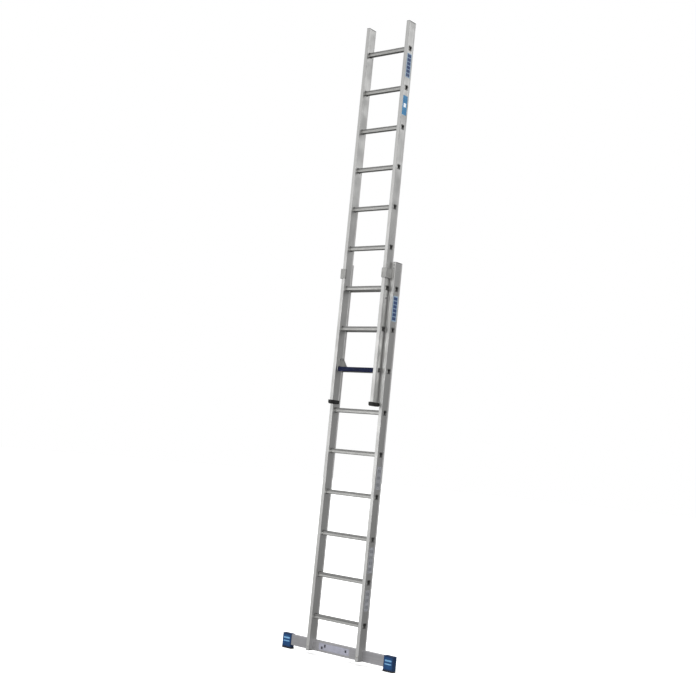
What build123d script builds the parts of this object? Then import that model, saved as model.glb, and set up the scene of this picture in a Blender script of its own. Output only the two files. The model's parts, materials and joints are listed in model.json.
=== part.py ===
"""Two-section aluminium extension ladder, nine rungs to a section, drawn standing upright.

X runs across the ladder, Y from the climber towards the wall, Z along the stiles.
The lower section (base) is wider and stands behind; the upper section (fly) slides in front of it.
All sizes are in millimetres.
"""

from build123d import *
import os

# Rungs
rung_count = 9
rung_pitch = 280.0
rung_size = 30.0
rung_corner = 5.0
rung_wall = 1.4
tread_rib_height = 0.8
tread_rib_width = 1.8
tread_rib_count = 5
face_groove_depth = 0.8
face_groove_width = 2.4
face_groove_offset = 5.5
hole_clearance = 0.1
collar_margin = 3.0
collar_thickness = 1.3
bead_thickness = 3.0

# Stiles: one box extrusion for both sections
stile_width = 25.0
stile_depth = 76.0
stile_length = 2645.0
stile_corner = 2.0
flange_wall = 1.9
flange_side_wall = 1.8
web_wall = 1.4
recess_depth = 1.5
recess_margin = 9.0
recess_slope = 1.5
chamber_depth = 7.0

# Sections
base_outer_width = 450.0
side_gap = 12.5
fly_step = 57.0
rungs_below_fly = 6
lift_travel = 130.0

# Stabiliser bar, shoes and soles
bar_length = 950.0
bar_height = 71.0
bar_depth = 30.0
bar_wall = 2.0
bar_inner_corner = 1.0
shoe_length = 79.0
shoe_wall = 4.0
shoe_top_wall = 3.0
shoe_end_wall = 3.0
shoe_clearance = 0.2
shoe_corner = 5.0
shoe_top_round = 1.8
shoe_underside = 17.0
shoe_pocket_depth = 3.0
sole_thickness = 13.0
sole_overhang = 2.0
sole_tread_depth = 2.5
sole_tread_width = 5.0
sole_tread_count = 6
sole_peg_inset = 18.0
sole_peg_diameter = 10.0
sole_peg_length = 8.0
sole_peg_clearance = 0.1

# Bolts through stile and bar
bolt_diameter = 8.0
bolt_hole_clearance = 0.2
bolt_head_diameter = 14.0
bolt_head_height = 4.0
bolt_height_on_bar = 31.0
washer_diameter = 18.0
washer_thickness = 1.6
nut_across_flats = 13.0
nut_height = 6.5
bolt_overrun = 2.0
sleeve_outer_diameter = 12.0

# End plugs
plug_flange = 3.0
plug_body_length = 60.0
foot_plug_body_length = 18.0
plug_clearance = 0.1

# Guides on the base that wrap round the fly
guide_height = 68.0
guide_below_top = 113.0
guide_running_gap = 0.6
guide_front_gap = 0.5
guide_front_wall = 4.5
guide_lip_wall = 5.0
guide_lip_reach = 15.0
guide_tail = 40.0
guide_corner = 6.0
guide_lip_corner = 7.0
guide_front_round = 3.0
guide_rivet_y = 24.0
guide_rivet_heights = (14.0, 40.0)

# Rubber feet of the fly
foot_height = 26.0
foot_toe = 14.0
foot_corner = 12.0
foot_body_length = 28.0

# Hooks that hang the fly on a base rung
hook_plate = 4.0
hook_seat_gap = 0.3
hook_side_gap = 0.8
hook_tip_wall = 6.0
hook_tip_drop = 28.0
hook_height = 61.0
hook_top_front = -30.0
hook_top_back = 16.0
hook_seat_width = 14.0
hook_seat_thickness = 4.0
hook_bead_gap = 0.5
hook_rivet_drop = 10.0

# Rivets
rivet_diameter = 5.0
rivet_hole_clearance = 0.05
rivet_head_diameter = 9.0
rivet_head_height = 2.2
head_rounding = 0.6  # share of a head's height that is rounded
rivet_tail_diameter = 7.0
rivet_tail_length = 3.0
counterbore_clearance = 0.3
plug_rivet_heights = (18.0, 40.0)
stop_head_diameter = 12.0
stop_head_height = 4.5
stop_gap = 0.4

# Places worked out from the sizes above
bar_bottom = sole_thickness + shoe_underside - shoe_pocket_depth
bar_top = bar_bottom + bar_height
plug_bottom = bar_bottom
base_bottom = plug_bottom + plug_flange
first_rung_margin = 226.0
fly_rung_margin = 217.0
base_rung_1 = base_bottom + first_rung_margin
base_top = base_bottom + stile_length
fly_rung_1 = base_rung_1 + rungs_below_fly * rung_pitch
fly_bottom = fly_rung_1 - fly_rung_margin
fly_top = fly_bottom + stile_length

fly_outer_width = base_outer_width - 2 * stile_width - 2 * side_gap
depth_in_front = fly_step + foot_toe
depth_behind = washer_thickness + nut_height + bolt_overrun
base_front = (depth_in_front - stile_depth - depth_behind) / 2
fly_front = base_front - fly_step
base_rung_y = base_front + stile_depth / 2
fly_rung_y = fly_front + stile_depth / 2
bar_front = base_front + stile_depth - bar_depth
guide_bottom = base_top - guide_below_top
stop_height = guide_bottom - lift_travel - stop_gap - stop_head_diameter / 2
cavity_width = stile_width - 2 * recess_depth - 2 * web_wall
cavity_depth = stile_depth - 2 * flange_wall


def save(name, *solids):
    """Write one node, as one solid or as a group of separate solids."""
    shape = solids[0] if len(solids) == 1 else Compound(children=list(solids))
    shape.label = name
    export_step(shape, f"parts/{name}.step")


def mirrored(shape):
    """The same piece for the left-hand side."""
    return mirror(shape, about=Plane.YZ)


def box(x0, x1, y0, y1, z0, z1):
    """A block between two corners."""
    centre = Pos((x0 + x1) / 2, (y0 + y1) / 2, (z0 + z1) / 2)
    return centre * Box(x1 - x0, y1 - y0, z1 - z0)


def rounded_block(x0, x1, y0, y1, z0, z1, radius):
    """A block with rounded vertical edges."""
    sketch = Pos((x0 + x1) / 2, (y0 + y1) / 2) * RectangleRounded(x1 - x0, y1 - y0, radius)
    return Pos(0, 0, z0) * extrude(sketch, z1 - z0)


def bar_along_x(sketch, x0, x1, y, z):
    """Extrude a section drawn as (y, z) along X from x0 to x1."""
    plane = Plane(origin=(x0, y, z), x_dir=(0, 1, 0), z_dir=(1, 0, 0))
    return extrude(plane * sketch, x1 - x0)


def pin_along_x(x0, x1, y, z, diameter):
    """A round pin along X between x0 and x1, given in either order."""
    low, high = min(x0, x1), max(x0, x1)
    return bar_along_x(Circle(diameter / 2), low, high, y, z)


def pin_along_y(y0, y1, x, z, diameter):
    """A round pin along Y from y0 to y1."""
    plane = Plane(origin=(x, y0, z), x_dir=(1, 0, 0), z_dir=(0, 1, 0))
    return extrude(plane * Circle(diameter / 2), y1 - y0)


def square_ring_size(margin):
    return rung_size + 2 * margin


def stile_section():
    """The stile's closed box section, with a shallow recess along both webs."""
    outline = RectangleRounded(stile_width, stile_depth, stile_corner)
    half_recess = stile_depth / 2 - recess_margin
    edge = stile_width / 2
    floor = edge - recess_depth
    recess = make_face(
        Polyline(
            (edge, half_recess + recess_slope),
            (floor, half_recess),
            (floor, -half_recess),
            (edge, -half_recess - recess_slope),
            close=True,
        )
    )
    cavity = RectangleRounded(cavity_width, cavity_depth, stile_corner / 2)
    chamber_width = stile_width - 2 * flange_side_wall
    for side in (-1, 1):
        middle = side * (cavity_depth - chamber_depth) / 2
        cavity += Pos(0, middle) * RectangleRounded(chamber_width, chamber_depth, stile_corner / 2)
    return outline - recess - mirror(recess, about=Plane.YZ) - cavity


def rung_section():
    """The rung's outline: a rounded square with ribs on the tread and grooves on its faces."""
    body = Pos(0, -tread_rib_height / 2) * RectangleRounded(
        rung_size, rung_size - tread_rib_height, rung_corner
    )
    tread = rung_size - 2 * rung_corner
    rib_step = tread / (tread_rib_count - 1)
    rib_root = rung_size / 2 - tread_rib_height
    for number in range(tread_rib_count):
        at = -tread / 2 + number * rib_step
        rib_middle = rib_root + (tread_rib_height - rung_wall / 2) / 2
        rib = Rectangle(tread_rib_width, tread_rib_height + rung_wall / 2)
        body += Pos(at, rib_middle) * rib
    for side in (-1, 1):
        for height in (-face_groove_offset, face_groove_offset):
            groove = Rectangle(2 * face_groove_depth, face_groove_width)
            body -= Pos(side * rung_size / 2, height) * groove
    return body


def rung_bore():
    bore = rung_size - 2 * (rung_wall + face_groove_depth)
    return RectangleRounded(bore, bore, rung_corner / 2)


def make_rung(outer_width, y, z):
    """A tube through both stiles, with a swaged collar outside and a bead inside each stile."""
    collar_outer_x = outer_width / 2 - recess_depth + collar_thickness
    collar_inner_x = outer_width / 2 - recess_depth
    bead_outer_x = outer_width / 2 - stile_width + recess_depth
    bead_inner_x = bead_outer_x - bead_thickness
    ring_size = square_ring_size(collar_margin)
    ring = RectangleRounded(ring_size, ring_size, rung_corner + collar_margin)
    rung = bar_along_x(rung_section(), -collar_outer_x, collar_outer_x, y, z)
    for inner, outer in ((collar_inner_x, collar_outer_x), (bead_inner_x, bead_outer_x)):
        rung += bar_along_x(ring, inner, outer, y, z)
        rung += bar_along_x(ring, -outer, -inner, y, z)
    return rung - bar_along_x(rung_bore(), -collar_outer_x, collar_outer_x, y, z)


def rung_hole(x0, x1, y, z):
    size = rung_size + 2 * hole_clearance
    return bar_along_x(RectangleRounded(size, size, rung_corner), x0, x1, y, z)


def make_stile(outer_width, front, bottom, first_rung, rung_y):
    """The right-hand stile of a section, pierced for its rungs."""
    middle_x = (outer_width - stile_width) / 2
    section = Pos(middle_x, front + stile_depth / 2) * stile_section()
    stile = Pos(0, 0, bottom) * extrude(section, stile_length)
    for number in range(rung_count):
        z = first_rung + number * rung_pitch
        stile -= rung_hole(outer_width / 2 - stile_width, outer_width / 2, rung_y, z)
    return stile


def rivet_hole_x(x0, x1, y, z):
    return pin_along_x(x0, x1, y, z, rivet_diameter + 2 * rivet_hole_clearance)


def rivet_hole_y(y0, y1, x, z):
    return pin_along_y(y0, y1, x, z, rivet_diameter + 2 * rivet_hole_clearance)


# Base section, right-hand side first
base_middle_x = (base_outer_width - stile_width) / 2
base_inner_x = base_outer_width / 2 - stile_width
fly_outer_x = fly_outer_width / 2
fly_middle_x = (fly_outer_width - stile_width) / 2
fly_inner_x = fly_outer_x - stile_width
bolt_z = bar_bottom + bolt_height_on_bar
bolt_hole = bolt_diameter + 2 * bolt_hole_clearance
guide_plate_x = fly_outer_x + guide_running_gap
guide_front_y = fly_front - guide_front_gap - guide_front_wall
guide_rivets_at = [
    (base_front + guide_rivet_y, guide_bottom + height) for height in guide_rivet_heights
]
base_web_inside_x = base_inner_x + recess_depth + web_wall
plug_rivets_at = [base_top - height for height in plug_rivet_heights]


def make_base_stile():
    stile = make_stile(base_outer_width, base_front, base_bottom, base_rung_1, base_rung_y)
    back = base_front + stile_depth
    stile -= box(base_inner_x, base_outer_width / 2, bar_front, back, base_bottom, bar_top)
    stile -= pin_along_y(base_front, bar_front, base_middle_x, bolt_z, bolt_hole)
    for y, z in guide_rivets_at:
        stile -= rivet_hole_x(base_inner_x, base_web_inside_x, y, z)
    for z in plug_rivets_at:
        stile -= rivet_hole_y(base_front, base_front + flange_wall, base_middle_x, z)
    return stile


def make_top_plug(middle_x, front, top, rivet_heights):
    """A flat cap with a hollow body that fits the stile's cavity."""
    middle_y = front + stile_depth / 2
    outline = RectangleRounded(stile_width, stile_depth, stile_corner)
    body = RectangleRounded(
        cavity_width - 2 * plug_clearance, cavity_depth - 2 * plug_clearance, stile_corner / 2
    )
    plug = Pos(middle_x, middle_y, top) * extrude(outline, plug_flange)
    plug += Pos(middle_x, middle_y, top - plug_body_length) * extrude(body, plug_body_length)
    core = Rectangle(cavity_width - 2 * plug_flange, cavity_depth - 6 * plug_flange)
    core_block = extrude(core, plug_body_length)
    plug -= Pos(middle_x, middle_y, top - plug_body_length) * core_block
    for z in rivet_heights:
        plug -= rivet_hole_y(front, front + 5 * plug_flange, middle_x, z)
    return plug


def make_base_foot_plug():
    """The plug under the part of the stile that stands in front of the bar."""
    front = base_front
    flange = box(
        base_inner_x, base_outer_width / 2, front, bar_front, plug_bottom, base_bottom
    )
    flange = fillet(flange.edges().filter_by(Axis.Z).group_by(Axis.Y)[0], stile_corner)
    body_width = cavity_width - 2 * plug_clearance
    body = rounded_block(
        base_middle_x - body_width / 2,
        base_middle_x + body_width / 2,
        front + flange_wall + plug_clearance,
        bar_front - plug_clearance,
        base_bottom,
        base_bottom + foot_plug_body_length,
        stile_corner / 2,
    )
    return flange + body


def make_bar():
    outline = RectangleRounded(bar_depth, bar_height, stile_corner)
    inside = RectangleRounded(bar_depth - 2 * bar_wall, bar_height - 2 * bar_wall, bar_inner_corner)
    y = bar_front + bar_depth / 2
    z = bar_bottom + bar_height / 2
    bar = bar_along_x(outline - inside, -bar_length / 2, bar_length / 2, y, z)
    for x in (-base_middle_x, base_middle_x):
        bar -= pin_along_y(bar_front, bar_front + bar_depth, x, bolt_z, bolt_hole)
    return bar


def make_bolt():
    """A round-headed bolt from the front of the stile to the back of the bar."""
    length = stile_depth + washer_thickness + nut_height + bolt_overrun
    bolt = pin_along_y(base_front, base_front + length, base_middle_x, bolt_z, bolt_diameter)
    head = pin_along_y(
        base_front - bolt_head_height, base_front, base_middle_x, bolt_z, bolt_head_diameter
    )
    head = fillet(head.edges().group_by(Axis.Y)[0], bolt_head_height * head_rounding)
    return bolt + head


def make_washer():
    back = base_front + stile_depth
    washer = pin_along_y(back, back + washer_thickness, base_middle_x, bolt_z, washer_diameter)
    return washer - pin_along_y(
        back, back + washer_thickness, base_middle_x, bolt_z, bolt_hole
    )


def make_nut():
    start = base_front + stile_depth + washer_thickness
    plane = Plane(origin=(base_middle_x, start, bolt_z), x_dir=(1, 0, 0), z_dir=(0, 1, 0))
    across_corners = nut_across_flats / 3**0.5
    nut = extrude(plane * RegularPolygon(across_corners, 6), nut_height)
    return nut - pin_along_y(
        start, start + nut_height, base_middle_x, bolt_z, bolt_diameter + 2 * rivet_hole_clearance
    )


def make_sleeve():
    """A spacer that keeps the bolt from crushing the hollow stile."""
    front = base_front + flange_wall
    sleeve = pin_along_y(front, bar_front, base_middle_x, bolt_z, sleeve_outer_diameter)
    return sleeve - pin_along_y(front, bar_front, base_middle_x, bolt_z, bolt_hole)


shoe_outer_x = bar_length / 2 + shoe_clearance + shoe_end_wall
shoe_inner_x = shoe_outer_x - shoe_length
shoe_front_y = bar_front - shoe_clearance - shoe_wall
shoe_back_y = bar_front + bar_depth + shoe_clearance + shoe_wall
shoe_bottom = sole_thickness - shoe_pocket_depth
shoe_top = bar_top + shoe_clearance + shoe_top_wall
sole_peg_x = (shoe_inner_x + sole_peg_inset, shoe_outer_x - sole_peg_inset)


def make_shoe():
    """The moulded shoe that slips over the end of the bar."""
    shoe = rounded_block(
        shoe_inner_x, shoe_outer_x, shoe_front_y, shoe_back_y, shoe_bottom, shoe_top, shoe_corner
    )
    shoe = fillet(shoe.edges().group_by(Axis.Z)[-1], shoe_top_round)
    pocket = box(
        shoe_inner_x,
        shoe_outer_x - shoe_end_wall,
        bar_front - shoe_clearance,
        bar_front + bar_depth + shoe_clearance,
        bar_bottom - shoe_clearance,
        bar_top + shoe_clearance,
    )
    shoe -= pocket
    middle_y = bar_front + bar_depth / 2
    for x in sole_peg_x:
        hole = Cylinder(sole_peg_diameter / 2 + sole_peg_clearance, sole_peg_length)
        shoe -= Pos(x, middle_y, shoe_bottom + sole_peg_length / 2) * hole
    return shoe


def make_sole():
    """The rubber sole under a shoe, with cross treads and two pegs that press into the shoe."""
    x0, x1 = shoe_inner_x - sole_overhang, shoe_outer_x
    y0, y1 = shoe_front_y, shoe_back_y
    sole = rounded_block(x0, x1, y0, y1, 0, shoe_bottom, shoe_corner)
    step = (x1 - x0) / (sole_tread_count + 1)
    for number in range(sole_tread_count):
        at = x0 + (number + 1) * step
        half = (step - sole_tread_width) / 2
        sole -= box(at - half, at + half, y0, y1, 0, sole_tread_depth)
    middle_y = bar_front + bar_depth / 2
    for x in sole_peg_x:
        peg = Cylinder(sole_peg_diameter / 2, sole_peg_length - sole_peg_clearance)
        peg_middle = shoe_bottom + (sole_peg_length - sole_peg_clearance) / 2
        sole += Pos(x, middle_y, peg_middle) * peg
    return sole


def make_guide():
    """A cast guide on the base's inner face that wraps round the front of the fly's stile."""
    wrap_top = guide_bottom + guide_height
    back_y = base_front + guide_tail
    lip_x = fly_inner_x - guide_running_gap
    lip_inner_x = lip_x - guide_lip_wall
    front_inside_y = fly_front - guide_front_gap
    wrap_middle = ((lip_inner_x + base_inner_x) / 2, (guide_bottom + wrap_top) / 2)
    outline = Rectangle(base_inner_x - lip_inner_x, guide_height)
    outline = fillet(outline.vertices().group_by(Axis.X)[0], guide_lip_corner)
    front_plane = Plane(origin=(0, guide_front_y, 0), x_dir=(1, 0, 0), z_dir=(0, 1, 0))
    wrap = extrude(front_plane * Pos(wrap_middle[0], -wrap_middle[1]) * outline, guide_lip_reach)
    wrap = fillet(wrap.edges().group_by(Axis.Y)[0], guide_front_round)
    wrap -= box(lip_x, guide_plate_x, front_inside_y, back_y, guide_bottom, wrap_top)
    plate = box(
        guide_plate_x, base_inner_x, guide_front_y + guide_corner, back_y, guide_bottom, wrap_top
    )
    guide = wrap + plate
    for y, z in guide_rivets_at:
        guide -= rivet_hole_x(guide_plate_x, base_inner_x, y, z)
        counterbore = rivet_head_diameter + 2 * counterbore_clearance
        floor_x = guide_plate_x + rivet_head_height + counterbore_clearance
        guide -= pin_along_x(guide_plate_x, floor_x, y, z, counterbore)
    return guide


def make_guide_rivet(y, z):
    head_x = guide_plate_x + counterbore_clearance
    neck_x = head_x + rivet_head_height
    rivet = pin_along_x(head_x, neck_x, y, z, rivet_head_diameter)
    rivet += pin_along_x(neck_x, base_web_inside_x, y, z, rivet_diameter)
    tail_end = base_web_inside_x + rivet_tail_length
    return rivet + pin_along_x(base_web_inside_x, tail_end, y, z, rivet_tail_diameter)


def make_plug_rivet(z):
    x, front = base_middle_x, base_front
    rivet = pin_along_y(front - rivet_head_height, front, x, z, rivet_head_diameter)
    rivet = fillet(rivet.edges().group_by(Axis.Y)[0], rivet_head_height * head_rounding)
    return rivet + pin_along_y(front, front + flange_wall + plug_flange, x, z, rivet_diameter)


# Fly section, right-hand side first
fly_web_outside_x = fly_outer_x - recess_depth
fly_web_inside_x = fly_web_outside_x - web_wall
fly_inner_web_inside_x = fly_inner_x + recess_depth + web_wall
hook_inner_x = fly_inner_x - hook_plate
hook_seat_z = fly_rung_1 + rung_size / 2 + hook_seat_gap
hook_top = fly_rung_1 + rung_size / 2 + hook_height
hook_rivet_y = (fly_rung_y, fly_rung_y + stile_depth / 2 - recess_margin)
hook_rivets_at = [(y, hook_top - hook_rivet_drop) for y in hook_rivet_y]
stop_y = fly_front + stile_depth / 2


def make_fly_stile():
    stile = make_stile(fly_outer_width, fly_front, fly_bottom, fly_rung_1, fly_rung_y)
    for y, z in hook_rivets_at:
        stile -= rivet_hole_x(fly_inner_x, fly_inner_web_inside_x, y, z)
    return stile - rivet_hole_x(fly_web_inside_x, fly_web_outside_x, stop_y, stop_height)


def make_fly_foot():
    """A rubber foot plugged into the stile's end, with a toe that stands proud in front."""
    back_y = fly_front + stile_depth
    toe_y = fly_front - foot_toe
    foot = box(fly_inner_x, fly_outer_x, toe_y, back_y, fly_bottom - foot_height, fly_bottom)
    foot = fillet(foot.edges().filter_by(Axis.X).group_by(Axis.Z)[0], foot_corner)
    body_width = cavity_width - 2 * plug_clearance
    middle_y = fly_front + stile_depth / 2
    body_depth = cavity_depth - 2 * plug_clearance
    return foot + rounded_block(
        fly_middle_x - body_width / 2,
        fly_middle_x + body_width / 2,
        middle_y - body_depth / 2,
        middle_y + body_depth / 2,
        fly_bottom,
        fly_bottom + foot_body_length,
        stile_corner / 2,
    )


def make_hook():
    """A plate on the fly's inner face that drops over a rung of the base behind it."""
    rung_back = base_rung_y + rung_size / 2
    slot_front = base_rung_y - rung_size / 2 - hook_side_gap
    slot_back = rung_back + hook_side_gap
    tip_back = slot_back + hook_tip_wall
    tip_bottom = fly_rung_1 + rung_size / 2 - hook_tip_drop
    bead_top = fly_rung_1 + square_ring_size(collar_margin) / 2 + hook_bead_gap
    bead_back = fly_rung_y + square_ring_size(collar_margin) / 2 + hook_bead_gap
    top_front = base_front + hook_top_front
    top_back = base_front + hook_top_back
    outline = make_face(
        Polyline(
            (top_front, hook_top),
            (top_back, hook_top),
            (tip_back, hook_seat_z + hook_seat_thickness + hook_tip_wall),
            (tip_back, tip_bottom),
            (slot_back, tip_bottom),
            (slot_back, hook_seat_z),
            (slot_front, hook_seat_z),
            (slot_front, tip_bottom),
            (bead_back, tip_bottom),
            (bead_back, bead_top),
            (top_front, bead_top),
            close=True,
        )
    )
    hook = bar_along_x(outline, hook_inner_x, fly_inner_x, 0, 0)
    hook += box(
        hook_inner_x - hook_seat_width,
        hook_inner_x,
        slot_front,
        tip_back,
        hook_seat_z,
        hook_seat_z + hook_seat_thickness,
    )
    for y, z in hook_rivets_at:
        hook -= rivet_hole_x(hook_inner_x, fly_inner_x, y, z)
    return hook


def make_hook_rivet(y, z):
    head_x = hook_inner_x - rivet_head_height
    rivet = pin_along_x(head_x, hook_inner_x, y, z, rivet_head_diameter)
    rivet = fillet(rivet.edges().group_by(Axis.X)[0], rivet_head_height * head_rounding)
    rivet += pin_along_x(hook_inner_x, fly_inner_web_inside_x, y, z, rivet_diameter)
    tail_end = fly_inner_web_inside_x + rivet_tail_length
    return rivet + pin_along_x(fly_inner_web_inside_x, tail_end, y, z, rivet_tail_diameter)


def make_stop_rivet():
    """The stop on the fly's outer face that meets the guide when the fly is lifted."""
    head_end = fly_web_outside_x + stop_head_height
    rivet = pin_along_x(fly_web_outside_x, head_end, stop_y, stop_height, stop_head_diameter)
    rivet = fillet(rivet.edges().group_by(Axis.X)[-1], rivet_head_height * head_rounding)
    rivet += pin_along_x(
        fly_web_inside_x, fly_web_outside_x, stop_y, stop_height, rivet_diameter
    )
    tail_end = fly_web_inside_x - rivet_tail_length
    return rivet + pin_along_x(
        tail_end, fly_web_inside_x, stop_y, stop_height, rivet_tail_diameter
    )


def save_pair(name, shape):
    save(f"{name}_left", mirrored(shape))
    save(f"{name}_right", shape)


def save_group(name, shapes):
    """One node for identical fasteners of both sides."""
    save(name, *shapes, *[mirrored(shape) for shape in shapes])


os.makedirs("parts", exist_ok=True)
save_pair("base_stile", make_base_stile())
save_pair("fly_stile", make_fly_stile())
for number in range(rung_count):
    height = number * rung_pitch
    base_rung = make_rung(base_outer_width, base_rung_y, base_rung_1 + height)
    fly_rung = make_rung(fly_outer_width, fly_rung_y, fly_rung_1 + height)
    save(f"base_rung_{number + 1}", base_rung)
    save(f"fly_rung_{number + 1}", fly_rung)
save_pair("base_top_plug", make_top_plug(base_middle_x, base_front, base_top, plug_rivets_at))
save_pair("fly_top_plug", make_top_plug(fly_middle_x, fly_front, fly_top, []))
save_pair("base_foot_plug", make_base_foot_plug())
save_pair("fly_foot", make_fly_foot())
save("stabiliser_bar", make_bar())
save_group("bar_bolts", [make_bolt()])
save_group("bar_washers", [make_washer()])
save_group("bar_nuts", [make_nut()])
save_group("bar_sleeves", [make_sleeve()])
save_pair("shoe", make_shoe())
save_pair("shoe_sole", make_sole())
save_pair("guide", make_guide())
save_group("guide_rivets", [make_guide_rivet(y, z) for y, z in guide_rivets_at])
save_group("top_plug_rivets", [make_plug_rivet(z) for z in plug_rivets_at])
save_pair("hook", make_hook())
save_group("hook_rivets", [make_hook_rivet(y, z) for y, z in hook_rivets_at])
save_group("stop_rivets", [make_stop_rivet()])
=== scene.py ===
# %% [markdown]
# # A two-section aluminium extension ladder, lit and finished
#
# The metal is already cut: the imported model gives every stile, rung, shoe and rivet at its true size.
# This lesson lights that model, gives each part the finish that a real one has, and adds the thin things
# that a drawing leaves out, such as the stickers on the stiles and the raised bars on the shoes.

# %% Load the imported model
import json
import math

import bpy
from mathutils import Matrix, Vector


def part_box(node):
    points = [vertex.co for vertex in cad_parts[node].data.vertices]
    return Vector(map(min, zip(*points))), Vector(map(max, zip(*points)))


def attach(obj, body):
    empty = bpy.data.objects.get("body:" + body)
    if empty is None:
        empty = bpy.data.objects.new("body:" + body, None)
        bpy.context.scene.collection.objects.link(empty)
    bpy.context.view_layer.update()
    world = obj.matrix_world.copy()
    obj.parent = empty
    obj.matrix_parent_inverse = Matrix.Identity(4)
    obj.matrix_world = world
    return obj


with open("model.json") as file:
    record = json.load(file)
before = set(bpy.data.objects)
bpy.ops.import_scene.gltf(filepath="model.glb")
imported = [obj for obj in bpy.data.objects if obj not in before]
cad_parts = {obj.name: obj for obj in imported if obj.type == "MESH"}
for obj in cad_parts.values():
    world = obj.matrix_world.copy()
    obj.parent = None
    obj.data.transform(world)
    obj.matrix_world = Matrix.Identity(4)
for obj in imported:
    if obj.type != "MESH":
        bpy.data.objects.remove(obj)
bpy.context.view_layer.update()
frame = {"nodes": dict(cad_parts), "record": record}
nodes = frame["nodes"]
bpy.ops.object.select_all(action="DESELECT")

# %% [markdown]
# ## Camera
#
# The ladder is seen from its right-hand front corner, from about chest height, so the eye looks up at the
# top rungs and down at the shoes. The camera is rolled a little, which is why the ladder seems to lean.
# Yaw, pitch and roll are turned one after the other, as on a tripod head. The lens is shifted by a few
# hundredths only, so the same lens serves every other view.

# %% Stand the camera on its tripod
EYE = Vector((4.969, -6.189, 1.310))
YAW, PITCH, ROLL = (math.radians(turn) for turn in (39.54, 6.41, 5.70))
LENS_MM, SENSOR_MM = 60.4, 36.0
LENS_SHIFT = -0.026
FAR_CLIP = 200.0

camera_data = bpy.data.cameras.new("camera")
camera_data.lens = LENS_MM
camera_data.sensor_width = SENSOR_MM
camera_data.shift_y = LENS_SHIFT
camera_data.clip_end = FAR_CLIP
camera = bpy.data.objects.new("camera", camera_data)
bpy.context.collection.objects.link(camera)
pan = Matrix.Rotation(YAW, 4, "Z")
tilt = Matrix.Rotation(math.radians(90) + PITCH, 4, "X")
roll = Matrix.Rotation(ROLL, 4, "Z")
camera.matrix_world = Matrix.Translation(EYE) @ pan @ tilt @ roll
bpy.context.scene.camera = camera
print("camera at", tuple(round(v, 2) for v in EYE), "with a", LENS_MM, "mm lens")

# %% [markdown]
# ## Small tools for materials
#
# The room, the floor and every finish are node trees. A few functions add the nodes that turn up most, and
# each takes a number or another node's output in the same place. Colours are three numbers.

# %% Helpers for node trees
def feed(tree, socket, value):
    """Gives an input a fixed value, or a link from another node's output."""
    if isinstance(value, bpy.types.NodeSocket):
        tree.links.new(value, socket)
    else:
        socket.default_value = value


def math_node(tree, operation, a, b=None, c=None, clamp=False):
    """A Math node in tree. Each of a, b and c is a number or a socket to link from."""
    node = tree.nodes.new("ShaderNodeMath")
    node.operation = operation
    node.use_clamp = clamp
    for socket, value in zip(node.inputs, (a, b, c)):
        if value is not None:
            feed(tree, socket, value)
    return node.outputs[0]


def dot_node(tree, one, other):
    """The dot product of two vectors, each fixed or linked."""
    node = tree.nodes.new("ShaderNodeVectorMath")
    node.operation = "DOT_PRODUCT"
    feed(tree, node.inputs[0], one)
    feed(tree, node.inputs[1], other)
    return node.outputs["Value"]


def noise_node(tree, vector, scale, detail=2.0, rough=0.5):
    """A Noise Texture in tree, read at vector. Returns its value from 0 to 1."""
    node = tree.nodes.new("ShaderNodeTexNoise")
    node.inputs["Detail"].default_value = detail
    node.inputs["Roughness"].default_value = rough
    feed(tree, node.inputs["Vector"], vector)
    feed(tree, node.inputs["Scale"], scale)
    return node.outputs["Fac"]


def range_node(tree, value, low, high, to_low=0.0, to_high=1.0, step="SMOOTHSTEP"):
    """value from low to high becomes to_low to to_high, along a smooth or a straight step."""
    node = tree.nodes.new("ShaderNodeMapRange")
    node.interpolation_type = step
    tree.links.new(value, node.inputs["Value"])
    for name, number in (("From Min", low), ("From Max", high), ("To Min", to_low), ("To Max", to_high)):
        node.inputs[name].default_value = number
    return node.outputs["Result"]


def grey(tone):
    """A colour without hue."""
    return (tone, tone, tone)


def shade(colour, amount):
    """colour made darker, or lighter if amount is over 1."""
    return tuple(amount * v for v in colour)


print("helpers for node trees ready")

# %% [markdown]
# Every finish starts the same way: a Principled BSDF whose fixed values are typed straight into its sockets,
# and Object coordinates, which stay with the metal when the fly slides. The class keeps the wiring short, so
# that a finish reads as a list of what happens to its colour, its roughness and its surface.

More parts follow.
